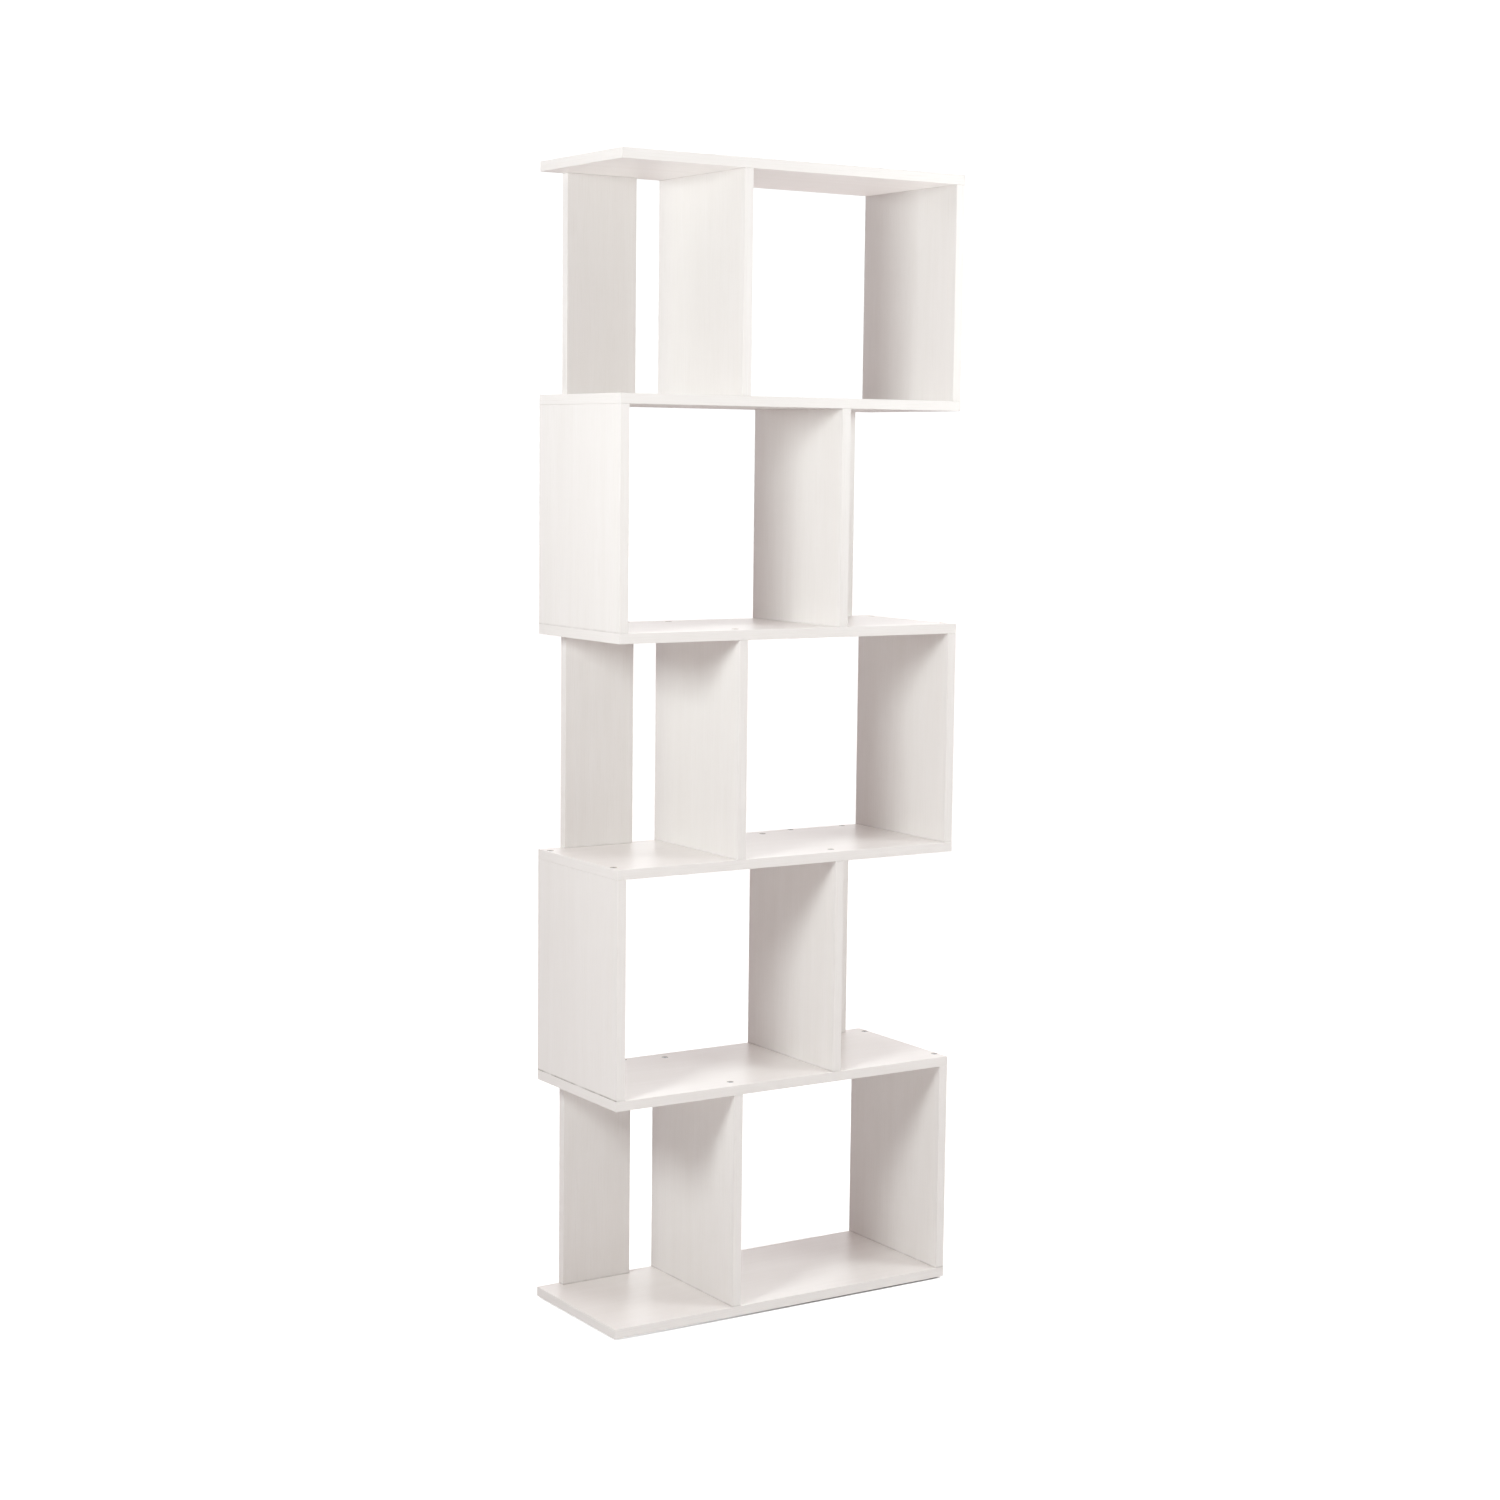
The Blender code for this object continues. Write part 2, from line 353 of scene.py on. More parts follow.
def lay_grain(mesh, low, high, thick, grain, number, banded_ends):
    """Writes the UV map "grain", in metres along and across the grain of each face or band,
    and two attributes. "rim" is 1 on the rounded edges and 0 on the flats. "joint" is how much
    grime and painted contact shade there is: 0 but in the grooves of the edge bands and at the
    ends that meet a board, with less at the upper ends and higher up, and more along the outer
    foot of an end panel. The ends without a band join the bored walls in the attribute "raw".

    A region is told by where its faces lie: within the joint of an end, within the joint of a
    long edge, or else on one of the two broad faces. Each has its own shift of the print."""
    edge = settings().edge
    cross = 3 - thick - grain
    joint = edge.band_thickness + edge.joint_width / 2
    points = values_of(mesh.vertices, "co", 3)
    corners = values_of(mesh.loops, "vertex_index", kind=np.int32)
    counts = values_of(mesh.polygons, "loop_total", kind=np.int32)
    centres = values_of(mesh.polygons, "center", 3)

    inset = np.minimum(centres - low, high - centres)
    upper = centres > (low + high) / 2
    at_end = inset[:, grain] < (joint if banded_ends else LINE_TOLERANCE)
    at_long_edge = ~at_end & (inset[:, cross] < joint)
    region = np.where(
        at_end, 4 + upper[:, grain], np.where(at_long_edge, 2 + upper[:, cross], upper[:, thick])
    )
    along = np.where(at_end, cross, grain)
    across = np.where(at_end | at_long_edge, thick, cross)
    if not banded_ends:
        is_raw = mesh.attributes["raw"].data
        joined = np.where(at_end, 1, values_of(is_raw, "value", kind=np.float32))
        is_raw.foreach_set("value", joined)
    region, along, across = (np.repeat(x, counts) for x in (region, along, across))
    here = points[corners] - low
    rows = np.arange(len(corners))
    place = np.stack([here[rows, along], here[rows, across]], 1)
    place += np.outer(region, REGION_SHIFT) + number * np.array(PIECE_SHIFT)
    mesh.uv_layers.new(name="grain")
    mesh.uv_layers["grain"].uv.foreach_set("vector", place.astype(np.float32).ravel())

    inset = np.minimum(points - low, high - points)
    rim = np.clip(1 - np.sort(inset, axis=1)[:, 1] / edge.rounding, 0, 1)
    in_groove = np.abs(inset - joint) < edge.joint_width / 4
    # Grime and painted contact shade: the band grooves, and a panel's ends within Joint Shade of a
    # board, thinning out with height
    if banded_ends:
        grime_and_shade_mask = in_groove[:, grain] | in_groove[:, cross]
    else:
        grime_and_shade_mask = np.maximum(in_groove[:, cross], 1 - inset[:, grain] / edge.joint_shade)
        upper_end = points[:, Z] > (low + high)[Z] / 2
        outside = np.abs(points[:, X]) > packed_box[1][X] - edge.rounding
        grime_and_shade_mask *= np.where(upper_end, UPPER_GRIME_AND_SHADE, np.where(outside, OUTER_GRIME_AND_SHADE, 1))
    grime_and_shade_mask = grime_and_shade_mask * np.clip(1 - points[:, Z] / GRIME_AND_SHADE_HEIGHT, LEAST_GRIME_AND_SHADE, 1)
    add_attribute(mesh, "rim", "POINT", rim)
    add_attribute(mesh, "joint", "POINT", np.maximum(grime_and_shade_mask, 0))


def new_piece(name, points, faces, material, raw_faces=NO_FACES):
    """A closed piece that rides on the unit: its doubles are merged and its faces turned out.

    raw_faces are more faces, marked by 1 in the attribute "raw"."""
    mesh = bpy.data.meshes.new(name)
    groups = (*faces, raw_faces)
    mesh.from_pydata(points.tolist(), [], [face for group in groups for face in group.tolist()])
    is_raw = np.repeat([0.0] * len(faces) + [1.0], [len(group) for group in groups])
    add_attribute(mesh, "raw", "FACE", is_raw)
    shell = bmesh.new()
    shell.from_mesh(mesh)
    bmesh.ops.remove_doubles(shell, verts=shell.verts, dist=MERGE_DISTANCE)
    bmesh.ops.dissolve_degenerate(shell, edges=shell.edges, dist=MERGE_DISTANCE)
    bmesh.ops.recalc_face_normals(shell, faces=shell.faces)
    open_edges = sum(not edge.is_manifold for edge in shell.edges)
    shell.to_mesh(mesh)
    shell.free()
    if open_edges:
        raise RuntimeError(f"{name} has {open_edges} edges that two faces don't share")
    mesh.materials.append(material)
    mesh.shade_smooth()
    mesh.set_sharp_from_angle(angle=SHARP_ANGLE)
    piece = new_object(name, mesh)
    evened = piece.modifiers.new("flat faces stay flat", "WEIGHTED_NORMAL")
    evened.keep_sharp = True
    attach(piece, BODY)
    return piece


def make_sheet(node, thick, grain, holes, banded_ends, material, number):
    """One board or panel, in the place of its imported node."""
    low, high = node_box(node)
    if not banded_ends:
        low[grain] -= END_REACH
        high[grain] += END_REACH
    points, quads, triangles, walls = sheet_surface(low, high, thick, grain, holes, banded_ends)
    piece = new_piece(f"{node}_sheet", points, (quads, triangles), material, walls)
    lay_grain(piece.data, low, high, thick, grain, number, banded_ends)
    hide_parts(node)
    return piece


def screw_places(tier, panel):
    """(x, y) of a panel's screws, by position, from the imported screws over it."""
    places = {}
    for position in PANEL_SCREWS[panel]:
        low, high = node_box(f"tier_{tier}_{panel}_screw_{position}")
        places[position] = ((low + high) / 2)[:2]
    return places


def all_screws():
    """(tier, panel, position, (x, y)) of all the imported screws, from the bottom tier up."""
    return [
        (tier, panel, position, place)
        for tier in TIERS
        for panel in PANEL_SCREWS
        for position, place in screw_places(tier, panel).items()
    ]


def board_holes(level):
    """The holes of a board: from above for the tier below it, and from beneath for the tier
    above it. The base board also has those for the pins of the glides."""
    low, high = node_box(BOARDS[level])
    profile = screw_hole_profile(high[Z] - low[Z])
    holes = []
    for tier, side in ((level, 1), (level + 1, 0)):
        if tier not in TIERS:
            continue
        for panel in PANEL_SCREWS:
            for x, y in screw_places(tier, panel).values():
                holes.append(SheetHole(Z, side, (x, y, 0), profile, True))
    if level == 0:
        size = settings().glide
        pin = size.pin_radius + size.clearance
        pin_depth = size.pin_length + size.clearance
        for node in GLIDES:
            box_low, box_high = node_box(node)
            x, y = ((box_low + box_high) / 2)[:2]
            pin_profile = [(pin, 0), (pin, pin_depth - pin), (0, pin_depth)]
            holes.append(SheetHole(Z, 0, (x, y, 0), pin_profile, False))
    return holes


def panel_holes(tier, panel):
    """The pilot holes in the top and bottom ends of a panel."""
    size = settings().screw
    low, high = node_box(f"tier_{tier}_{panel}")
    board_low, board_high = node_box(BOARDS[0])
    in_board = board_high[Z] - board_low[Z] - size.head_sink
    profile = pilot_profile(size.length - in_board)
    middle = (low + high) / 2
    return [
        SheetHole(Z, side, (x, y, middle[Z]), profile, False)
        for side in (0, 1)
        for x, y in screw_places(tier, panel).values()
    ]


# Screws and glides

def turned(outline, sides):
    """Points and quads of an outline of (radius, height), turned about the upright axis. A
    radius may also be an array, with a value for each angle."""
    angles = np.arange(sides) * 2 * pi / sides
    rings = [
        np.stack([radius * np.cos(angles), radius * np.sin(angles), np.full(sides, height)], 1)
        for radius, height in outline
    ]
    return turned_surface(rings)


def hexagon_radius(corner_radius, sides):
    """Radius of a hexagon at each angle: the distance to its flats, divided by the cosine of
    the angle from the middle of the nearest flat."""
    angles = np.arange(sides) * 2 * pi / sides
    from_flat = (angles + pi / 6) % (pi / 3) - pi / 6
    return corner_radius * np.cos(pi / 6) / np.cos(from_flat)


def screw_head():
    """Outline of a countersunk head with a hexagon socket, from the socket's middle outwards
    and down to the end of the collar, and closed there. The top of the head is at height 0."""
    size = settings().screw
    hexagon = hexagon_radius(size.socket_radius, SCREW_SIDES)
    bevel = size.socket_bevel
    rim = size.head_rim
    rounding = rim / 2
    outline = [
        (0, -size.socket_depth - bevel),
        (hexagon * SOCKET_FLOOR_SHARE, -size.socket_depth),
        (hexagon, -size.socket_depth + bevel),
        (hexagon, -bevel),
        (hexagon + bevel, 0),
    ]
    for turn in np.linspace(0, pi / 2, HEAD_RIM_STEPS):
        radius = size.head_radius - rounding * (1 - np.sin(turn))
        outline.append((radius, -rounding * (1 - np.cos(turn))))
    collar = size.collar_radius
    return outline + [
        (size.head_radius, -rim),
        (collar, -rim - size.head_cone),
        (collar, COLLAR_BEVEL_HEIGHT - size.collar_length),
        (collar - COLLAR_BEVEL_WIDTH, -size.collar_length),
        (0, -size.collar_length),
    ]


def screw_thread():
    """Outline of the threaded shank, from the collar to the point.

    Formula: at height z and angle a the radius is core + depth * crest(z / pitch + a / turn),
    where crest is a triangle that is 1 at each whole number and 0 a third of a turn from it.
    It is faded to nothing at the collar and the tip, where the core narrows to the point."""
    size = settings().screw
    top = -size.collar_length
    bottom = -size.length
    turns = (top - bottom) / size.thread_pitch
    rows = int(turns * THREAD_ROWS_PER_TURN) + 1
    heights = np.linspace(top, bottom, rows)
    angle_share = np.arange(THREAD_SIDES) / THREAD_SIDES
    phase = heights[:, None] / size.thread_pitch + angle_share[None, :]
    crest = np.clip(1 - CREST_STEEPNESS * np.abs(phase - np.round(phase)), 0, 1)
    from_tip = np.clip((heights - bottom) / size.tip_length, 0, 1)
    run_in = np.clip((top - heights) / size.thread_pitch, 0, 1)
    core = size.thread_radius - size.thread_depth
    core_here = size.tip_radius + (core - size.tip_radius) * from_tip
    radii = core_here[:, None] + size.thread_depth * crest * (from_tip * run_in)[:, None]
    return [(0, top), *zip(radii, heights), (0, bottom)]


def make_screw(name, place, pointing_up, node, material, turn):
    """One screw: its head and collar, closed below, and its thread, closed above."""
    head_points, head_faces = turned(screw_head(), SCREW_SIDES)
    thread_points, thread_faces = turned(screw_thread(), THREAD_SIDES)
    points = np.concatenate([head_points, thread_points - (0, 0, 2 * MERGE_DISTANCE)])
    cosine, sine = np.cos(turn), np.sin(turn)
    points = points @ np.array([(cosine, sine, 0), (-sine, cosine, 0), (0, 0, 1)])
    if pointing_up:
        points = points * (1, -1, -1)
    points = points + place
    faces = (head_faces, thread_faces + len(head_points))
    screw = new_piece(name, points, faces, material)
    if node:
        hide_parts(node)
    return screw


def make_glide(node, material):
    """One glide: its outline from the point of the pin down to the foot, turned about its
    axis, with the foot's edge rounded and a shallow dish in its face."""
    size = settings().glide
    low, high = node_box(node)
    place = (low + high) / 2
    place[Z] = low[Z]
    top = high[Z] - low[Z]
    rounding = size.rounding
    inner = size.foot_radius - rounding / 2
    outline = [
        (0, top),
        (size.pin_radius, top - size.pin_point),
        (size.pin_radius, size.foot_height + PIN_FLARE),
        (size.pin_radius + PIN_FLARE, size.foot_height),
        (inner, size.foot_height),
        (size.foot_radius, size.foot_height - rounding / 2),
    ]
    for turn in np.linspace(0, pi / 2, FOOT_STEPS):
        radius = size.foot_radius - rounding * (1 - np.cos(turn))
        outline.append((radius, rounding * (1 - np.sin(turn))))
    outline += [
        (size.foot_radius * DISH_SHARE, 0),
        (size.foot_radius * DISH_FLOOR_SHARE, DISH_DEPTH),
        (0, DISH_DEPTH),
    ]
    points, faces = turned(outline, GLIDE_SIDES)
    glide = new_piece(f"{node}_turned", points + place, (faces,), material)
    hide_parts(node)
    return glide


# Finishes

def add_node(tree, kind, inputs=None, **values):
    """A shader node with its own properties and the values or links of its inputs."""
    made = tree.nodes.new(f"ShaderNode{kind}")
    for name, value in values.items():
        setattr(made, name, value)
    for name, value in (inputs or {}).items():
        if isinstance(value, bpy.types.NodeSocket):
            tree.links.new(value, made.inputs[name])
        else:
            made.inputs[name].default_value = value
    return made


def maths(tree, operation, first, *others):
    """The output of one operation on two or more numbers or sockets, from the first on."""
    for other in others:
        made = add_node(tree, "Math", {0: first, 1: other}, operation=operation)
        first = made.outputs[0]
    return first


def noise(tree, place, scale, detail, roughness, distortion=0):
    """The output of a Noise Texture node."""
    inputs = {"Vector": place, "Scale": scale, "Detail": detail, "Roughness": roughness}
    return add_node(tree, "TexNoise", {**inputs, "Distortion": distortion}).outputs[0]


def share_between(tree, value, start, full):
    """How far a value has come from start to full, from 0 to 1."""
    inputs = {"Value": value, "From Min": start, "From Max": full}
    return add_node(tree, "MapRange", inputs).outputs[0]


SOCKET_KINDS = {
    type(None): "NodeSocketVector",
    float: "NodeSocketFloat",
    tuple: "NodeSocketColor",
}


def new_group(name, inputs, outputs):
    """A shader node group with named inputs and outputs. Each is given with its default, which
    tells its kind: None for a place, a number, or a colour."""
    group = bpy.data.node_groups.new(name, "ShaderNodeTree")
    for in_out, sockets in (("INPUT", inputs), ("OUTPUT", outputs)):
        for label, default in sockets.items():
            kind = SOCKET_KINDS[type(default)]
            made = group.interface.new_socket(label, in_out=in_out, socket_type=kind)
            if default is not None:
                made.default_value = default
    source = group.nodes.new("NodeGroupInput")
    return group, source.outputs, group.nodes.new("NodeGroupOutput").inputs


# Noise of the print: its scale along and across the grain, detail, roughness and distortion
STREAKS = ((2.6, 48, 1), 3, 0.55, 0.5)
CLOUDS = ((3.5, 13, 1), 2, 0.5, 0.4)
PORES = ((14, 900, 1), 2, 0.6, 0.1)
PORE_START = 0.05
PORE_FULL = 0.16

# Detail and roughness of the other noises
SKIN_NOISE = (2, 0.5)
SMEAR_NOISE = (4, 0.6)
SMEARS_PER_METRE = 11
PATCH_NOISE = (3, 0.6)
PATCH_FULL = 0.65
LIGHT_CHIP = (0.60, 0.45, 0.29, 1)
DARK_CHIP = (0.33, 0.23, 0.14, 1)

# The looks of the three finishes
GRAIN_AMOUNTS = {"Streaks": 1.3, "Pores": 1.2, "Clouds": 0.5}
MELAMINE_SKIN = {"Bumps per Metre": 1100, "Gloss Change": 0.08}
MELAMINE_SKIN_HEIGHT = 0.3
MELAMINE_BUMP = {"Strength": 0.35, "Distance": 0.00005}
RAW_DULLNESS = 0.5
RIM_PATCHES = {"Patches per Metre": 60, "Breaks": 0.4, "Amount": 0.5}
RIM_TINT = (1.06, 1.06, 1.06)
# Patches and dark tint of the grime and painted contact shade in the joints
GRIME_AND_SHADE_PATCHES = {"Patches per Metre": 35, "Breaks": 0.2}
GRIME_AND_SHADE_TINT = (0.38, 0.35, 0.32)
METAL_SKIN = {"Bumps per Metre": 2500, "Gloss Change": 0.3}
METAL_DULL_SHARE = 0.7
METAL_BUMP = {"Strength": 0.4, "Distance": 0.00003}
PLASTIC_SKIN = {"Bumps per Metre": 1800, "Gloss Change": 0.15, "Roughness": 0.5}
PLASTIC_DULL_SHARE = 0.86
PLASTIC_BUMP = {"Strength": 0.3, "Distance": 0.00005}


def printed_grain(name):
    """The print of the melamine: soft streaks along the grain, fine pores and slow clouds.

    Tone is about 0.5, and over it where the print is darker. Pore Height is the depth of the
    pressed-in pores, below 0."""
    inputs = {"Lay": None, "Streaks": 0.5, "Pores": 0.3, "Clouds": 0.2}
    group, source, target = new_group(name, inputs, {"Tone": 0.0, "Pore Height": 0.0})

    def stretched_noise(scale, detail, roughness, distortion):
        stretched = {"Vector": source["Lay"], "Scale": scale}
        lay = add_node(group, "Mapping", stretched).outputs[0]
        tone = noise(group, lay, 1, detail, roughness, distortion)
        return maths(group, "SUBTRACT", tone, 0.5)

    pores = share_between(group, stretched_noise(*PORES), PORE_START, PORE_FULL)
    tone = 0.5
    for layer, amount in (
        (stretched_noise(*STREAKS), "Streaks"),
        (stretched_noise(*CLOUDS), "Clouds"),
        (pores, "Pores"),
    ):
        added = maths(group, "MULTIPLY", layer, source[amount])
        tone = maths(group, "ADD", added, tone)
    group.links.new(tone, target["Tone"])
    group.links.new(maths(group, "MULTIPLY", pores, -1), target["Pore Height"])
    return group


def satin_skin(name):
    """The fine skin of a pressed or moulded surface: a small even unevenness and a slow change
    of gloss, such as hands and cloths leave."""
    inputs = {"Place": None, "Bumps per Metre": 900.0, "Roughness": 0.4, "Gloss Change": 0.05}
    group, source, target = new_group(name, inputs, {"Height": 0.0, "Roughness": 0.0})
    height = noise(group, source["Place"], source["Bumps per Metre"], *SKIN_NOISE)
    smears = noise(group, source["Place"], SMEARS_PER_METRE, *SMEAR_NOISE)
    change = maths(group, "SUBTRACT", smears, 0.5)
    change = maths(group, "MULTIPLY", change, source["Gloss Change"])
    rough = maths(group, "ADD", source["Roughness"], change)
    group.links.new(height, target["Height"])
    group.links.new(rough, target["Roughness"])
    return group


def chipboard(name):
    """The raw core of a sheet: pressed chips, each of its own brown and height."""
    inputs = {"Place": None, "Chips per Metre": 450.0, "Light": LIGHT_CHIP, "Dark": DARK_CHIP}
    group, source, target = new_group(name, inputs, {"Colour": LIGHT_CHIP, "Height": 0.0})
    chip_inputs = {"Vector": source["Place"], "Scale": source["Chips per Metre"], "Randomness": 1}
    chips = add_node(group, "TexVoronoi", chip_inputs)
    shade = add_node(group, "SeparateColor", {"Color": chips.outputs["Color"]})
    colour = colour_between(group, shade.outputs[0], source["Light"], source["Dark"])
    group.links.new(colour, target["Colour"])
    group.links.new(shade.outputs[1], target["Height"])
    return group


def patchy_line(name):
    """What gathers, rubs off or is painted as shade along a line: the line's mask, stronger and
    weaker in patches, and broken up altogether where Breaks is high."""
    inputs = {"Place": None, "Line": 0.0, "Patches per Metre": 60.0, "Breaks": 0.4, "Amount": 0.3}
    group, source, target = new_group(name, inputs, {"Mask": 0.0})
    patches = noise(group, source["Place"], source["Patches per Metre"], *PATCH_NOISE)
    there = share_between(group, patches, source["Breaks"], PATCH_FULL)
    mask = maths(group, "MULTIPLY", there, source["Line"], source["Amount"])
    group.links.new(mask, target["Mask"])
    return group


def new_material(name):
    """A material with a shader and nothing else, and its tree and shader."""
    material = bpy.data.materials.new(name)
    material.use_nodes = True
    tree = material.node_tree
    return material, tree, tree.nodes["Principled BSDF"]


def add_group(tree, name, build, *inputs):
    """The outputs of a node of a group, which is built at its first use, with the values or
    links of its inputs in one or more dicts."""
    group = bpy.data.node_groups.get(name) or build(name)
    joined = {label: value for part in inputs for label, value in part.items()}
    return add_node(tree, "Group", joined, node_tree=group).outputs


def attribute(tree, name):
    """The value of one of the pieces' own attributes."""
    return add_node(tree, "Attribute", attribute_name=name).outputs["Fac"]


def tinted(colour, tint):
    """A colour, multiplied by another or by a number, with its alpha."""
    tint = np.broadcast_to(tint, 3)
    return (*(min(1, float(c * t)) for c, t in zip(colour, tint)), 1)


def colour_between(tree, factor, light, dark):
    """The mix of two colours or sockets by a factor."""
    inputs = {0: factor, 6: light, 7: dark}
    return add_node(tree, "Mix", inputs, data_type="RGBA", clamp_factor=True).outputs[2]


def finish_shader(tree, shader, colour, roughness, height, bump_look):
    """Links the shader's colour and roughness, and makes its normal from a height."""
    bump = add_node(tree, "Bump", {"Height": height, **bump_look})
    tree.links.new(colour, shader.inputs["Base Color"])
    tree.links.new(roughness, shader.inputs["Roughness"])
    tree.links.new(bump.outputs[0], shader.inputs["Normal"])


def melamine(slot, colour):
    """White melamine with a faint printed wood grain that follows each sheet and band, rubbed
    lighter along its edges, and darker in its joints with grime and painted contact shade. Raw
    ends and bored walls show the chipboard."""
    finish = settings().finish
    material, tree, shader = new_material(f"{slot}_finish")
    lay = add_node(tree, "UVMap", uv_map="grain").outputs[0]
    place = {"Place": add_node(tree, "TexCoord").outputs["Object"]}
    grain = add_group(tree, "Printed grain", printed_grain, {"Lay": lay}, GRAIN_AMOUNTS)
    gloss = {"Roughness": finish.melamine_roughness}
    skin = add_group(tree, "Satin skin", satin_skin, place, MELAMINE_SKIN, gloss)
    core = add_group(tree, "Chipboard", chipboard, place)
    dark = tinted(colour, finish.grain_tint)
    face = colour_between(tree, grain["Tone"], tinted(colour, 1), dark)
    # The joints are darkened with grime and painted contact shade
    grime_and_shade = {**GRIME_AND_SHADE_PATCHES, "Amount": finish.joint_grime}
    for mark, look, tint in (("rim", RIM_PATCHES, RIM_TINT), ("joint", grime_and_shade, GRIME_AND_SHADE_TINT)):
        line = {"Line": attribute(tree, mark)}
        patches = add_group(tree, "Patchy line", patchy_line, place, look, line)
        face = colour_between(tree, patches["Mask"], face, tinted(colour, tint))
    raw = attribute(tree, "raw")
    face = colour_between(tree, raw, face, core["Colour"])
    duller = maths(tree, "MULTIPLY", raw, RAW_DULLNESS)
    rough = maths(tree, "ADD", skin["Roughness"], duller)
    raw_height = maths(tree, "MULTIPLY", core["Height"], raw)
    height = maths(tree, "MULTIPLY", skin["Height"], MELAMINE_SKIN_HEIGHT)
    height = maths(tree, "ADD", height, raw_height, grain["Pore Height"])
    finish_shader(tree, shader, face, rough, height, MELAMINE_BUMP)
    return material


def skinned(slot, colour, dull_share, skin_look, bump_look, metallic):
    """Metal or plastic whose fine skin is a little duller in its hollows."""
    material, tree, shader = new_material(f"{slot}_finish")
    place = {"Place": add_node(tree, "TexCoord").outputs["Object"]}
    skin = add_group(tree, "Satin skin", satin_skin, place, skin_look)
    shader.inputs["Metallic"].default_value = metallic
    height = skin["Height"]
    face = colour_between(tree, height, tinted(colour, 1), tinted(colour, dull_share))
    finish_shader(tree, shader, face, skin["Roughness"], height, bump_look)
    return material


def metal(slot):
    """Zinc-plated steel with the fine marks of turning and a dull, slightly uneven plating."""
    finish = settings().finish
    skin = {**METAL_SKIN, "Roughness": finish.metal_roughness}
    return skinned(slot, finish.metal_colour, METAL_DULL_SHARE, skin, METAL_BUMP, metallic=1)


def plastic(slot):
    """Pale moulded plastic, matt and faintly uneven."""
    colour = settings().finish.glide_colour
    return skinned(slot, colour, PLASTIC_DULL_SHARE, PLASTIC_SKIN, PLASTIC_BUMP, metallic=0)


def finish_of(slot, build, *options):
    """The finish of a slot, which is built at its first use."""
    return bpy.data.materials.get(f"{slot}_finish") or build(slot, *options)


# Studio

CAMERA_PLACE = (-2.20344, -3.40977, 1.29306)
CAMERA_RIGHT = (0.840364, -0.541899, 0.011586)
CAMERA_UP = (0.049740, 0.098386, 0.993904)
CAMERA_FORWARD = (0.539736, 0.834665, -0.109634)
CAMERA_LENS = 64.173
SENSOR_WIDTH = 36.0
FARTHEST_IN_VIEW = 200
UNIT_MIDDLE = (0.0, 0.0, 0.80)
BACKDROP_IN_VIEW = 1.1
LIFT_PLACE = (0.36, 0.16, 1.12)
LIFT_AIM = (0.28, 0.12, 1.70)
LIFT_SIZE = 0.4
FLOOR_REACH = 30.0
FLOOR_ROUGHNESS = 0.6
FLOOR_SPECULAR = 0.2
SHADE_DEPTH = 0.006
SHADE_LENGTH = 0.35


def make_camera():
    """The camera of the reference picture, found from the unit's own corners."""
    lens = bpy.data.cameras.new("picture_camera")
    lens.lens = CAMERA_LENS
    lens.sensor_width = SENSOR_WIDTH
    lens.clip_end = FARTHEST_IN_VIEW
    camera = new_object("picture_camera", lens)
    columns = (CAMERA_RIGHT, CAMERA_UP, tuple(-c for c in CAMERA_FORWARD))
    turn = Matrix(columns).transposed()
    camera.matrix_world = Matrix.Translation(CAMERA_PLACE) @ turn.to_4x4()
    bpy.context.scene.camera = camera


def make_softbox(name, place, aim, size, power, colour):
    """A square area light at a place, turned to face a point."""
    light = bpy.data.lights.new(name, "AREA")
    light.shape = "SQUARE"
    light.size = size
    light.energy = power
    light.color = colour
    lamp = new_object(name, light)
    turn = (Vector(aim) - Vector(place)).to_track_quat("-Z", "Y")
    lamp.matrix_world = Matrix.Translation(place) @ turn.to_matrix().to_4x4()
    return lamp


def make_top_board_lift():
    """A light from below that reaches nothing but the top board, and isn't thrown on by it.
    The reference picture shows the underside of that board nearly as pale as its edges."""
    lift = make_softbox(
        "top_board_lift", LIFT_PLACE, LIFT_AIM, LIFT_SIZE, settings().stage.lift_power, (1, 1, 1)
    )
    lit = bpy.data.collections.new("top_board_only")
    lit.objects.link(bpy.data.objects["top_board_sheet"])
    lift.light_linking.receiver_collection = lit
    lift.light_linking.blocker_collection = lit
    lift.data.cycles.max_bounces = 0


def make_world():
    """A white backdrop that the camera sees and gloss mirrors, and a soft fill from above.

    The fill is strongest straight overhead and falls to nothing at the horizon."""
    stage = settings().stage
    world = bpy.data.worlds.new("studio")
    world.use_nodes = True
    tree = world.node_tree
    tree.nodes.clear()
    path = add_node(tree, "LightPath")
    direction = add_node(tree, "TexCoord").outputs["Generated"]
    parts = add_node(tree, "SeparateXYZ", {"Vector": direction})
    upward = maths(tree, "MAXIMUM", parts.outputs["Z"], 0)
    fill_strength = maths(tree, "MULTIPLY", upward, stage.fill_strength)
    fill_inputs = {"Color": (*stage.fill_colour, 1), "Strength": fill_strength}
    fill = add_node(tree, "Background", fill_inputs)
    mirrored = maths(tree, "MULTIPLY", path.outputs["Is Glossy Ray"], stage.backdrop_strength)
    in_view = maths(tree, "MULTIPLY", path.outputs["Is Camera Ray"], BACKDROP_IN_VIEW)
    white = maths(tree, "MAXIMUM", in_view, mirrored)
    backdrop = add_node(tree, "Background", {"Color": WHITE, "Strength": white})
    seen = maths(tree, "MINIMUM", white, 1)
    mixed = add_node(tree, "MixShader", {0: seen, 1: fill.outputs[0], 2: backdrop.outputs[0]})
    add_node(tree, "OutputWorld", {"Surface": mixed.outputs[0]})
    bpy.context.scene.world = world


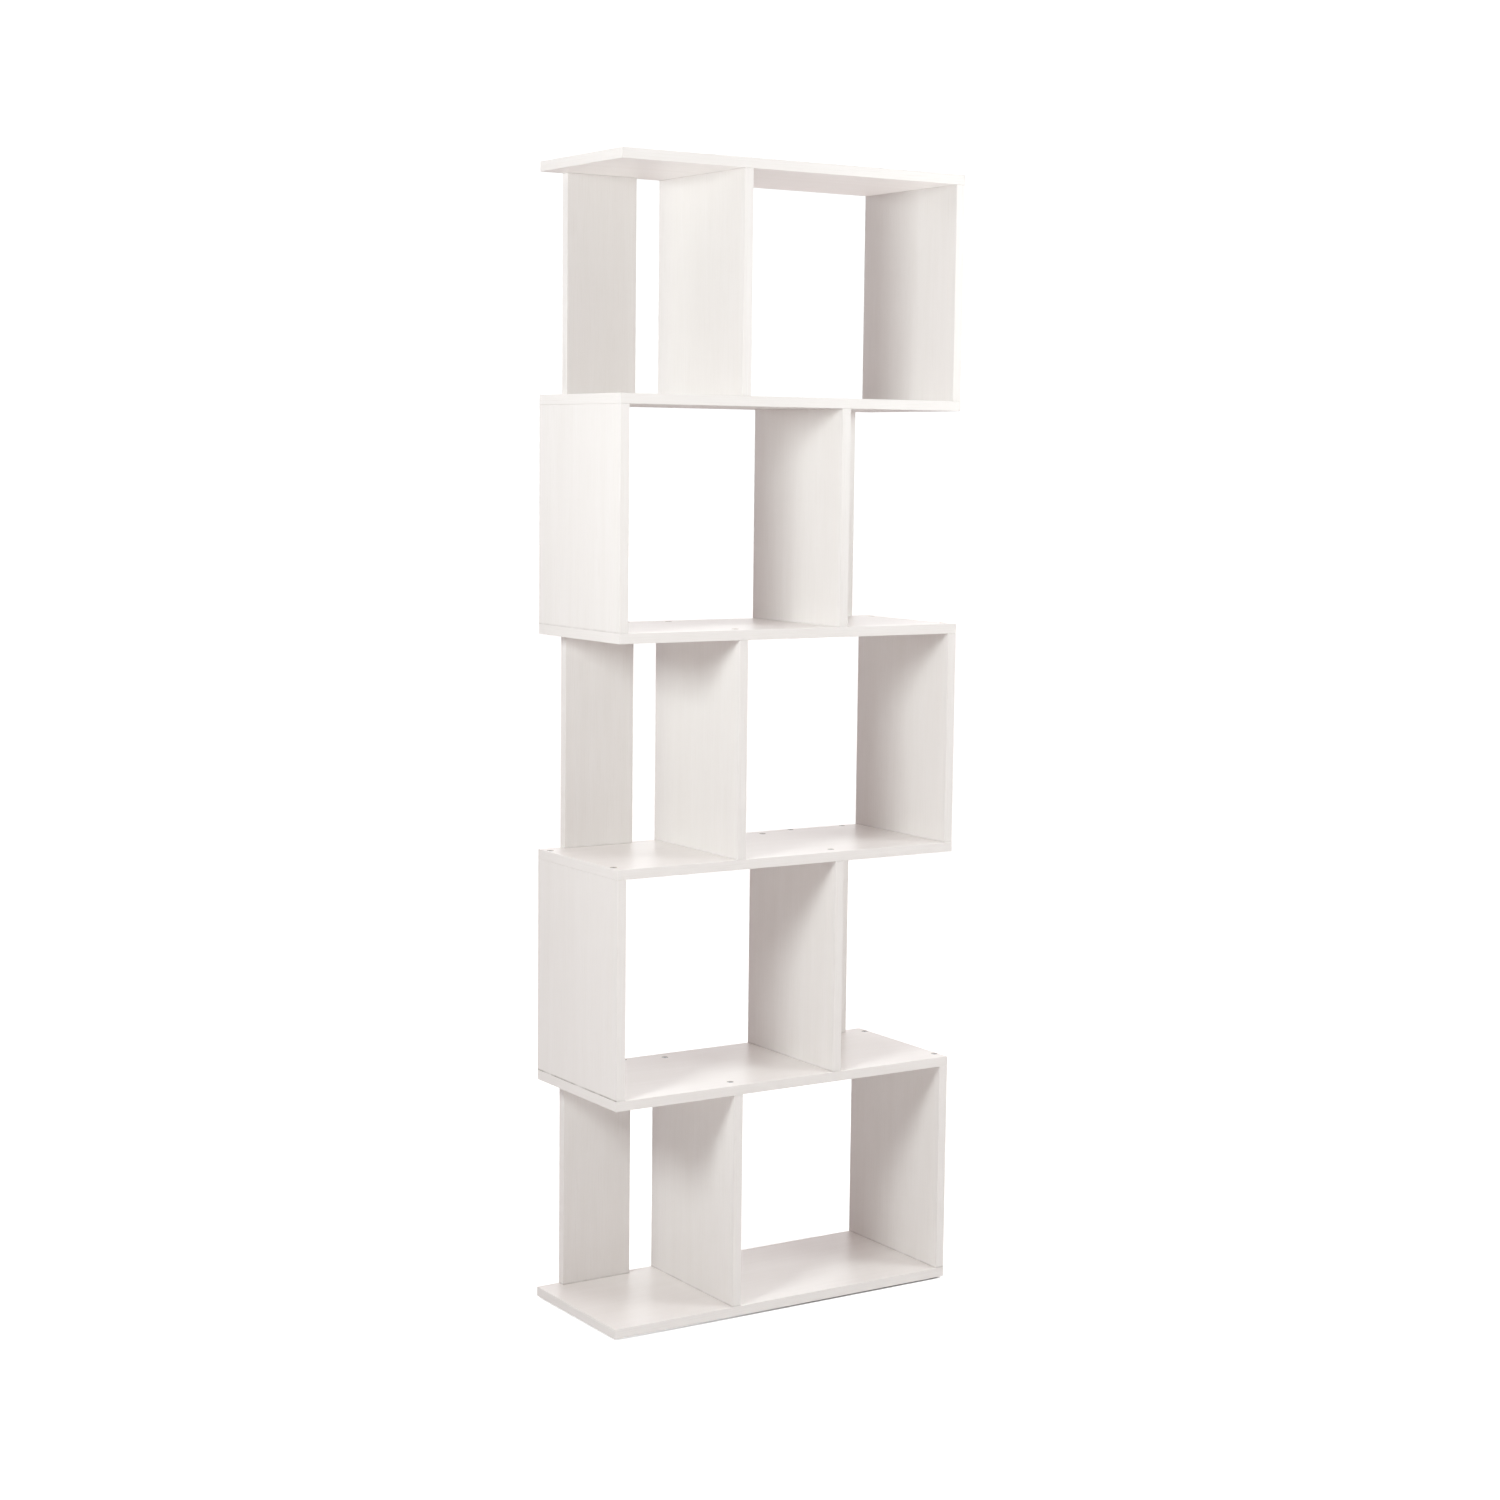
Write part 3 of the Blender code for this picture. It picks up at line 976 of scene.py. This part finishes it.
def make_floor():
    """A plain pale floor, seen from above only. Light of its own evens it out to white around
    the unit. It fades beneath the base board, slowly from the left, where the light comes
    from, so that a thin line of shade shows below the board's front edge."""
    stage = settings().stage
    mesh = bpy.data.meshes.new("studio_floor")
    reach = FLOOR_REACH
    corners = [(-reach, -reach, 0), (reach, -reach, 0), (reach, reach, 0), (-reach, reach, 0)]
    mesh.from_pydata(corners, [], [(0, 1, 2, 3)])
    material, tree, shader = new_material("studio_floor")
    shader.inputs["Base Color"].default_value = (*stage.floor_colour, 1)
    shader.inputs["Roughness"].default_value = FLOOR_ROUGHNESS
    shader.inputs["Specular IOR Level"].default_value = FLOOR_SPECULAR
    low, high = packed_box
    place = add_node(tree, "TexCoord").outputs["Object"]
    place = add_node(tree, "SeparateXYZ", {"Vector": place})
    left = maths(tree, "SUBTRACT", low[X], place.outputs[X])
    left = maths(tree, "MULTIPLY", left, SHADE_DEPTH / SHADE_LENGTH)
    right = maths(tree, "SUBTRACT", place.outputs[X], high[X])
    front = maths(tree, "SUBTRACT", low[Y], place.outputs[Y])
    back = maths(tree, "SUBTRACT", place.outputs[Y], high[Y])
    outside = maths(tree, "MAXIMUM", left, right, front, back)
    around = share_between(tree, outside, -SHADE_DEPTH, 0)
    path = add_node(tree, "LightPath")
    in_view = path.outputs["Is Camera Ray"]
    glowing = maths(tree, "MULTIPLY", in_view, stage.floor_glow, around)
    glow = add_node(tree, "Emission", {"Color": WHITE, "Strength": glowing})
    lit = add_node(tree, "AddShader", {0: shader.outputs[0], 1: glow.outputs[0]})
    below = add_node(tree, "NewGeometry").outputs["Backfacing"]
    clear = add_node(tree, "BsdfTransparent")
    mixed = add_node(tree, "MixShader", {0: below, 1: lit.outputs[0], 2: clear.outputs[0]})
    tree.links.new(mixed.outputs[0], tree.nodes["Material Output"].inputs[0])
    mesh.materials.append(material)
    new_object("studio_floor", mesh)


# Settings that a user would change

def property_of(make, **options):
    """A function that declares a property of one kind by its name, default and description."""
    def declare(name, default, description):
        return make(name=name, default=default, description=description, **options)
    return declare


def metres(name, default, low, high, description):
    """Declares a small length with its limits."""
    declare = property_of(FloatProperty, min=low, max=high, precision=5, unit="LENGTH")
    return declare(name, default, description)


fraction = property_of(FloatProperty, min=0, max=1, subtype="FACTOR")
watts = property_of(FloatProperty, min=0, max=500, unit="POWER")
lamp_metres = property_of(FloatProperty, min=0.05, max=4, unit="LENGTH")
strength = property_of(FloatProperty, min=0, max=5)
swatch = property_of(FloatVectorProperty, min=0, max=1, subtype="COLOR")
spot = property_of(FloatVectorProperty, subtype="TRANSLATION", unit="LENGTH")


class EdgeSettings(PropertyGroup):
    rounding: metres("Edge Rounding", 0.0006, 0.0001, 0.003, "Radius of the edges of sheets")
    cut_rounding: metres("Cut Rounding", 0.00015, 0.00002, 0.001, "Radius of sawn panel ends")
    band_thickness: metres("Band Thickness", 0.001, 0.0003, 0.003, "Thickness of the edge band")
    joint_width: metres("Joint Width", 0.0003, 0.00005, 0.001, "Width of the band's groove")
    joint_depth: metres("Joint Depth", 0.0001, 0, 0.0005, "Depth of that groove")
    # Joint Shade is how far the grime and painted contact shade reach from a panel's end
    joint_shade: metres("Joint Shade", 0.003, 0.001, 0.02, "How far grime reaches on a panel")


class ScrewSettings(PropertyGroup):
    length: metres("Length", 0.050, 0.03, 0.07, "Whole length of a screw")
    head_radius: metres("Head Radius", 0.005, 0.004, 0.006, "Radius of the countersunk head")
    head_rim: metres("Head Rim", 0.0005, 0.0002, 0.002, "Height of the head's straight rim")
    head_cone: metres("Head Cone", 0.003, 0.001, 0.005, "Height of the cone under the rim")
    head_sink: metres("Head Sink", 0.0003, 0, 0.002, "How far a head sits below the face")
    collar_radius: metres("Collar Radius", 0.0032, 0.002, 0.004, "Radius of the plain collar")
    collar_length: metres("Collar Length", 0.012, 0.006, 0.014, "From head's top to collar's end")
    thread_radius: metres("Thread Radius", 0.0031, 0.002, 0.004, "Outer radius of the thread")
    thread_depth: metres("Thread Depth", 0.0009, 0.0002, 0.0015, "Crests' height over the core")
    thread_pitch: metres("Thread Pitch", 0.003, 0.001, 0.005, "Distance from crest to crest")
    tip_radius: metres("Tip Radius", 0.0014, 0, 0.003, "Radius of the blunt point")
    tip_length: metres("Tip Length", 0.004, 0.001, 0.008, "Length over which the shank narrows")
    socket_radius: metres("Socket Radius", 0.0023, 0.001, 0.0035, "From the middle to a corner")
    socket_depth: metres("Socket Depth", 0.0025, 0.001, 0.003, "Depth of the hexagon socket")
    socket_bevel: metres("Socket Bevel", 0.00015, 0, 0.0005, "Bevel round the socket's mouth")
    clearance: metres("Clearance", 0.0003, 0.0001, 0.001, "Room between a screw and its hole")


class GlideSettings(PropertyGroup):
    foot_radius: metres("Foot Radius", 0.011, 0.006, 0.02, "Radius of the foot")
    foot_height: metres("Foot Height", 0.003, 0.001, 0.006, "Height of the foot")
    rounding: metres("Rounding", 0.0012, 0.0002, 0.002, "Radius of the foot's lower edge")
    pin_radius: metres("Pin Radius", 0.0015, 0.0005, 0.003, "Radius of the pin")
    pin_length: metres("Pin Length", 0.009, 0.003, 0.014, "Length of the pin over the foot")
    pin_point: metres("Pin Point", 0.002, 0.0005, 0.004, "Length of the pin's point")
    clearance: metres("Clearance", 0.0003, 0.0001, 0.001, "Room between the pin and its hole")


class FinishSettings(PropertyGroup):
    board_colour: swatch("Board Colour", (0.90, 0.872, 0.855), "Colour of the boards' melamine")
    panel_colour: swatch("Panel Colour", (0.90, 0.872, 0.855), "Colour of the panels' melamine")
    grain_tint: swatch("Grain Tint", (0.95, 0.945, 0.935), "Multiplies the colour in dark print")
    melamine_roughness: fraction("Melamine Roughness", 0.36, "How dull the melamine is")
    # Joint Grime sets how dark the grime and painted contact shade in the joints are
    joint_grime: fraction("Joint Grime", 0.6, "How dark the joints between sheets and bands are")
    metal_colour: swatch("Metal Colour", (0.46, 0.46, 0.47), "Colour of the plated screws")
    metal_roughness: fraction("Metal Roughness", 0.42, "How dull the plating is")
    glide_colour: swatch("Glide Colour", (0.72, 0.71, 0.69), "Colour of the plastic glides")


class StageSettings(PropertyGroup):
    left_power: watts("Left Power", 25.3, "Power of the small softbox at the left")
    left_colour: swatch("Left Colour", (0.927, 1.0, 0.993), "Colour of the softbox at the left")
    left_size: lamp_metres("Left Size", 0.53, "Width of the softbox at the left")
    left_place: spot("Left Place", (-1.88, -0.84, 1.59), "Place of the softbox at the left")
    right_power: watts("Right Power", 38.6, "Power of the softbox at the front right")
    right_colour: swatch("Right Colour", (0.932, 1.0, 0.985), "Colour of the softbox at the right")
    right_size: lamp_metres("Right Size", 1.2, "Width of the softbox at the front right")
    right_place: spot("Right Place", (2.0, -2.0, 1.8), "Place of the softbox at the front right")
    top_power: watts("Top Power", 20, "Power of the softbox overhead")
    top_colour: swatch("Top Colour", (0.92, 0.96, 1.0), "Colour of the softbox overhead")
    top_size: lamp_metres("Top Size", 1.6, "Width of the softbox overhead")
    top_place: spot("Top Place", (0.0, -0.2, 3.4), "Place of the softbox overhead")
    rear_power: watts("Rear Power", 7, "Power of the softbox behind the unit")
    rear_colour: swatch("Rear Colour", (0.95, 1.0, 1.0), "Colour of the softbox behind the unit")
    rear_size: lamp_metres("Rear Size", 1.4, "Width of the softbox behind the unit")
    rear_place: spot("Rear Place", (-0.6, 3.0, 1.8), "Place of the softbox behind the unit")
    lift_power: watts("Lift Power", 1.9, "Power of the light on the underside of the top board")
    fill_strength: strength("Fill Strength", 0.575, "Strength of the fill straight from above")
    fill_colour: swatch("Fill Colour", (1.0, 0.785, 0.762), "Colour of the fill from above")
    backdrop_strength: strength("Backdrop Strength", 1.63, "How bright gloss mirrors the backdrop")
    floor_colour: swatch("Floor Colour", (0.85, 0.85, 0.85), "Colour of the floor")
    floor_glow: strength("Floor Glow", 0.7, "The floor's own light, which evens it out to white")


class ShelvingSettings(PropertyGroup):
    edge: PointerProperty(type=EdgeSettings)
    screw: PointerProperty(type=ScrewSettings)
    glide: PointerProperty(type=GlideSettings)
    finish: PointerProperty(type=FinishSettings)
    stage: PointerProperty(type=StageSettings)


# Operators

class SHELVING_OT_boards(Operator):
    """Builds the base board, the four shelf boards and the top board"""
    bl_idname = "shelving.boards"
    bl_label = "Boards"

    def execute(self, context):
        material = finish_of(BOARD_SLOT, melamine, settings().finish.board_colour)
        for level, node in enumerate(BOARDS):
            make_sheet(node, Z, X, board_holes(level), True, material, level)
        return {"FINISHED"}


def make_panels(panel, thick):
    """The panels of one kind, each with a number of its own for the place of its print."""
    material = finish_of(PANEL_SLOT, melamine, settings().finish.panel_colour)
    for tier, number in zip(TIERS, PRINT_NUMBERS[panel]):
        node = f"tier_{tier}_{panel}"
        holes = panel_holes(tier, panel)
        make_sheet(node, thick, Z, holes, False, material, number)


class SHELVING_OT_end_panels(Operator):
    """Builds the end panel of each tier"""
    bl_idname = "shelving.end_panels"
    bl_label = "End Panels"

    def execute(self, context):
        make_panels("end_panel", X)
        return {"FINISHED"}


class SHELVING_OT_dividers(Operator):
    """Builds the divider of each tier"""
    bl_idname = "shelving.dividers"
    bl_label = "Dividers"

    def execute(self, context):
        make_panels("divider", X)
        return {"FINISHED"}


class SHELVING_OT_back_panels(Operator):
    """Builds the narrow back panel of each tier"""
    bl_idname = "shelving.back_panels"
    bl_label = "Back Panels"

    def execute(self, context):
        make_panels("back_panel", Y)
        return {"FINISHED"}


class SHELVING_OT_upper_screws(Operator):
    """Builds the screws that go down through a board into the panels below it"""
    bl_idname = "shelving.upper_screws"
    bl_label = "Screws from Above"

    def execute(self, context):
        material = finish_of(SCREW_SLOT, metal)
        for turn, (tier, panel, position, (x, y)) in enumerate(all_screws(), 1):
            node = f"tier_{tier}_{panel}_screw_{position}"
            place = (x, y, node_box(node)[1][Z])
            make_screw(f"{node}_turned", place, False, node, material, turn)
        return {"FINISHED"}


class SHELVING_OT_lower_screws(Operator):
    """Builds the screws that come up through a board into the panels above it"""
    bl_idname = "shelving.lower_screws"
    bl_label = "Screws from Beneath"

    def execute(self, context):
        material = finish_of(SCREW_SLOT, metal)
        for turn, (tier, panel, position, (x, y)) in enumerate(all_screws(), LOWER_SCREW_TURN):
            underside = node_box(BOARDS[tier - 1])[0][Z]
            name = f"tier_{tier}_{panel}_lower_screw_{position}"
            place = (x, y, underside + settings().screw.head_sink)
            make_screw(name, place, True, None, material, turn)
        return {"FINISHED"}


class SHELVING_OT_glides(Operator):
    """Builds the four glides under the base board"""
    bl_idname = "shelving.glides"
    bl_label = "Glides"

    def execute(self, context):
        material = finish_of(GLIDE_SLOT, plastic)
        for node in GLIDES:
            make_glide(node, material)
        return {"FINISHED"}


class SHELVING_OT_stage(Operator):
    """Sets up the floor, the lights, the background and the camera"""
    bl_idname = "shelving.stage"
    bl_label = "Stage"

    def execute(self, context):
        stage = settings().stage
        make_world()
        make_floor()
        for side in ("left", "right", "top", "rear"):
            place, size, power, colour = (
                getattr(stage, f"{side}_{word}") for word in ("place", "size", "power", "colour")
            )
            make_softbox(f"{side}_softbox", place, UNIT_MIDDLE, size, power, colour)
        make_top_board_lift()
        make_camera()
        context.scene.view_settings.view_transform = "Standard"
        context.scene.view_settings.look = "None"
        return {"FINISHED"}


OPERATORS = (
    SHELVING_OT_boards,
    SHELVING_OT_end_panels,
    SHELVING_OT_dividers,
    SHELVING_OT_back_panels,
    SHELVING_OT_upper_screws,
    SHELVING_OT_lower_screws,
    SHELVING_OT_glides,
    SHELVING_OT_stage,
)


class SHELVING_PT_pieces(Panel):
    """Lists the settings and the operators, in the order in which they are run"""
    bl_idname = "SHELVING_PT_pieces"
    bl_label = "Shelving Unit"
    bl_space_type = "VIEW_3D"
    bl_region_type = "UI"
    bl_category = "Shelving"

    def draw(self, context):
        layout = self.layout
        unit = context.scene.shelving_unit
        for title in ("edge", "screw", "glide", "finish", "stage"):
            group = getattr(unit, title)
            box = layout.box()
            box.label(text=title.capitalize())
            for name in group.__annotations__:
                box.prop(group, name)
        for operator in OPERATORS:
            layout.operator(operator.bl_idname)


CLASSES = (
    EdgeSettings,
    ScrewSettings,
    GlideSettings,
    FinishSettings,
    StageSettings,
    ShelvingSettings,
    *OPERATORS,
    SHELVING_PT_pieces,
)


def register():
    for cls in CLASSES:
        bpy.utils.register_class(cls)
    bpy.types.Scene.shelving_unit = PointerProperty(type=ShelvingSettings)


def unregister():
    del bpy.types.Scene.shelving_unit
    for cls in reversed(CLASSES):
        bpy.utils.unregister_class(cls)


def main():
    register()
    for operator in OPERATORS:
        group, name = operator.bl_idname.split(".")
        getattr(getattr(bpy.ops, group), name)()
    bpy.context.view_layer.update()


if __name__ == "__main__":
    main()
